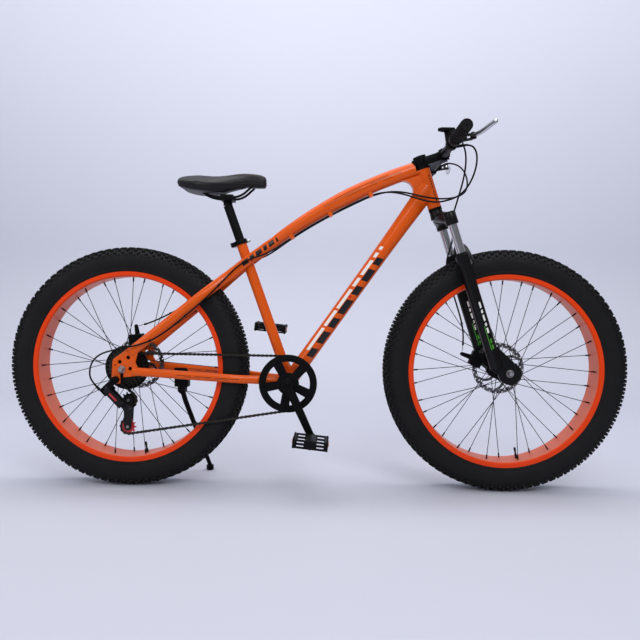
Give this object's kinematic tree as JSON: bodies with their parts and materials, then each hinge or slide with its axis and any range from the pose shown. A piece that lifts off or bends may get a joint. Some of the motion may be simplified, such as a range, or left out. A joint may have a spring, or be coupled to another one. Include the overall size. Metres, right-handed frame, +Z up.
{
  "type": "fat tire bicycle",
  "caption": "Fat tire mountain bicycle with a curved top tube frame, suspension fork, disc brakes, a geared chain drive and a kickstand.",
  "frame": {"origin": "on the ground, midway between the two axles, on the middle plane of the bicycle", "axes": "+X towards the front wheel, +Y towards the rider's left, +Z up"},
  "size_m": [1.855, 0.675, 1.0453],
  "materials": {
    "frame_paint": "gloss",
    "rim_paint": "satin",
    "fork_paint": "gloss",
    "black_metal": "satin",
    "black_alloy": "satin",
    "stanchion_chrome": "polished",
    "steel": "brushed",
    "silver": "satin",
    "black_plastic": "matte",
    "red_plastic": "gloss",
    "tyre_rubber": "matte",
    "grip_rubber": "matte",
    "saddle_cover": "satin",
    "cable_housing": "satin"
  },
  "bodies": {
    "frame": {"head_tube": "frame_paint", "top_tube": "frame_paint", "down_tube": "frame_paint", "seat_tube": "frame_paint", "bottom_bracket_shell": "frame_paint", "rear_stays": "frame_paint", "dropouts": "frame_paint", "frame_bearings": "black_metal", "seat_clamp": "black_metal", "kickstand_bracket": "black_metal", "rear_caliper": "black_alloy", "rear_axle": "steel", "chain": "steel", "rear_brake_cable": "cable_housing", "shift_cable": "cable_housing", "derailleur_bracket": "black_plastic"},
    "seat": {"seatpost": "black_alloy", "saddle_rails": "steel", "saddle": "saddle_cover"},
    "seat_clamp_lever": {"seat_clamp_lever": "silver"},
    "kickstand_leg": {"kickstand_leg": "black_alloy"},
    "rear_caliper_arm": {"rear_caliper_arm": "silver"},
    "rear_wheel": {"rear_tyre": "tyre_rubber", "rear_rim": "rim_paint", "rear_spokes": "black_metal", "rear_hub": "black_alloy", "rear_rotor": "steel", "spoke_guard": "black_plastic"},
    "freewheel": {"freewheel": "steel"},
    "crank": {"crank_axles": "steel", "crank_arms": "black_alloy", "chainring": "black_metal"},
    "pedal_right": {"pedal_right": "black_plastic"},
    "pedal_left": {"pedal_left": "black_plastic"},
    "derailleur_outer_link": {"derailleur_outer_link": "red_plastic"},
    "derailleur_inner_link": {"derailleur_inner_link": "black_plastic"},
    "derailleur_cage": {"derailleur_cage": "black_plastic"},
    "guide_pulley": {"guide_pulley": "red_plastic"},
    "tension_pulley": {"tension_pulley": "red_plastic"},
    "steer": {"fork_crown": "black_metal", "stanchions": "stanchion_chrome", "stem": "black_alloy", "handlebar": "black_alloy", "grips": "grip_rubber", "brake_perches": "black_alloy", "shifter_body": "black_plastic"},
    "brake_lever_right": {"brake_lever_right": "silver"},
    "brake_lever_left": {"brake_lever_left": "silver"},
    "shifter_paddle": {"shifter_paddle": "black_plastic"},
    "fork_lowers": {"fork_lowers": "fork_paint", "fork_springs": "steel", "front_caliper": "black_alloy", "front_axle": "steel", "front_brake_cable": "cable_housing"},
    "front_caliper_arm": {"front_caliper_arm": "silver"},
    "front_wheel": {"front_tyre": "tyre_rubber", "front_rim": "rim_paint", "front_spokes": "black_metal", "front_hub": "black_alloy", "front_rotor": "steel"}
  },
  "joints": [
    {"name": "steering", "type": "hinge", "parent": "frame", "child": "steer", "pos_m": [0.51604, 0, 0.34593], "axis": [-0.309, 0, 0.9511], "range_deg": [-50, 50], "deforming": ["shift_cable", "rear_brake_cable"]},
    {"name": "fork_travel", "type": "slide", "parent": "steer", "child": "fork_lowers", "axis": [-0.309, 0, 0.9511], "range_m": [0, 0.05], "stiffness_N_per_m": 7000, "springref_m": -0.02, "deforming": ["fork_springs", "front_brake_cable"]},
    {"name": "front_wheel_spin", "type": "hinge", "parent": "fork_lowers", "child": "front_wheel", "pos_m": [0.5655, 0, 0.362], "axis": [0, 1, 0], "continuous": true},
    {"name": "rear_wheel_spin", "type": "hinge", "parent": "frame", "child": "rear_wheel", "pos_m": [-0.5655, 0, 0.362], "axis": [0, 1, 0], "continuous": true},
    {"name": "crank_spin", "type": "hinge", "parent": "frame", "child": "crank", "pos_m": [-0.08, 0, 0.322], "axis": [0, 1, 0], "continuous": true, "deforming": ["chain"]},
    {"name": "freewheel_spin", "type": "hinge", "parent": "frame", "child": "freewheel", "pos_m": [-0.5655, -0.06, 0.362], "axis": [0, 1, 0], "continuous": true},
    {"name": "pedal_right_spin", "type": "hinge", "parent": "crank", "child": "pedal_right", "pos_m": [-0.00816, -0.135, 0.16793], "axis": [0, 1, 0], "continuous": true},
    {"name": "pedal_left_spin", "type": "hinge", "parent": "crank", "child": "pedal_left", "pos_m": [-0.15185, 0.135, 0.47607], "axis": [0, 1, 0], "continuous": true},
    {"name": "brake_lever_right", "type": "hinge", "parent": "steer", "child": "brake_lever_right", "pos_m": [0.41929, -0.2, 1.01119], "axis": [0.1736, 0, -0.9848], "range_deg": [0, 22], "stiffness_Nm_per_rad": 2, "springref_deg": -11.46},
    {"name": "brake_lever_left", "type": "hinge", "parent": "steer", "child": "brake_lever_left", "pos_m": [0.41929, 0.2, 1.01119], "axis": [-0.1736, 0, 0.9848], "range_deg": [0, 22], "stiffness_Nm_per_rad": 2, "springref_deg": -11.46},
    {"name": "front_caliper_arm", "type": "hinge", "parent": "fork_lowers", "child": "front_caliper_arm", "pos_m": [0.49689, 0.0613, 0.38972], "axis": [0, 1, 0], "range_deg": [0, 25.2]},
    {"name": "rear_caliper_arm", "type": "hinge", "parent": "frame", "child": "rear_caliper_arm", "pos_m": [-0.57324, 0.0843, 0.4356], "axis": [0, 1, 0], "range_deg": [0, 25.2]},
    {"name": "shifter_paddle", "type": "hinge", "parent": "steer", "child": "shifter_paddle", "pos_m": [0.36878, -0.15, 1.03275], "axis": [-0.1736, 0, 0.9848], "range_deg": [-50, 25]},
    {"name": "derailleur_shift", "type": "slide", "parent": "frame", "child": "derailleur_cage", "axis": [0, 1, 0], "range_m": [-0.0201, 0.0101]},
    {"name": "derailleur_outer_link", "type": "hinge", "parent": "frame", "child": "derailleur_outer_link", "pos_m": [-0.603, -0.1045, 0.3], "axis": [0.7218, 0, 0.6921], "range_deg": [-22, 11]},
    {"name": "derailleur_inner_link", "type": "hinge", "parent": "frame", "child": "derailleur_inner_link", "pos_m": [-0.603, -0.0835, 0.3], "axis": [0.7218, 0, 0.6921], "range_deg": [-22, 11]},
    {"name": "guide_pulley_spin", "type": "hinge", "parent": "derailleur_cage", "child": "guide_pulley", "pos_m": [-0.556, -0.056, 0.266], "axis": [0, 1, 0], "continuous": true},
    {"name": "tension_pulley_spin", "type": "hinge", "parent": "derailleur_cage", "child": "tension_pulley", "pos_m": [-0.55809, -0.056, 0.18626], "axis": [0, 1, 0], "continuous": true},
    {"name": "kickstand_fold", "type": "hinge", "parent": "frame", "child": "kickstand_leg", "pos_m": [-0.43073, 0.083, 0.27418], "axis": [0, 1, 0], "range_deg": [0, 88]},
    {"name": "seatpost_height", "type": "slide", "parent": "frame", "child": "seat", "axis": [-0.3379, 0, 0.9412], "range_m": [-0.1, 0.03]},
    {"name": "seat_clamp_lever", "type": "hinge", "parent": "frame", "child": "seat_clamp_lever", "pos_m": [-0.25407, 0.02, 0.73285], "axis": [0, 1, 0], "range_deg": [0, 170]}
  ],
  "couplings": [
    {"joint": "freewheel_spin", "follows": "crank_spin", "ratio": 1.8182},
    {"joint": "guide_pulley_spin", "follows": "crank_spin", "ratio": -3.6364},
    {"joint": "tension_pulley_spin", "follows": "crank_spin", "ratio": 3.6364},
    {"joint": "front_caliper_arm", "follows": "brake_lever_right", "ratio": 1.1364},
    {"joint": "rear_caliper_arm", "follows": "brake_lever_left", "ratio": 1.1364},
    {"joint": "derailleur_shift", "follows": "shifter_paddle", "m_per_rad": 0.0229},
    {"joint": "derailleur_outer_link", "follows": "shifter_paddle", "ratio": 0.432},
    {"joint": "derailleur_inner_link", "follows": "shifter_paddle", "ratio": 0.432}
  ]
}
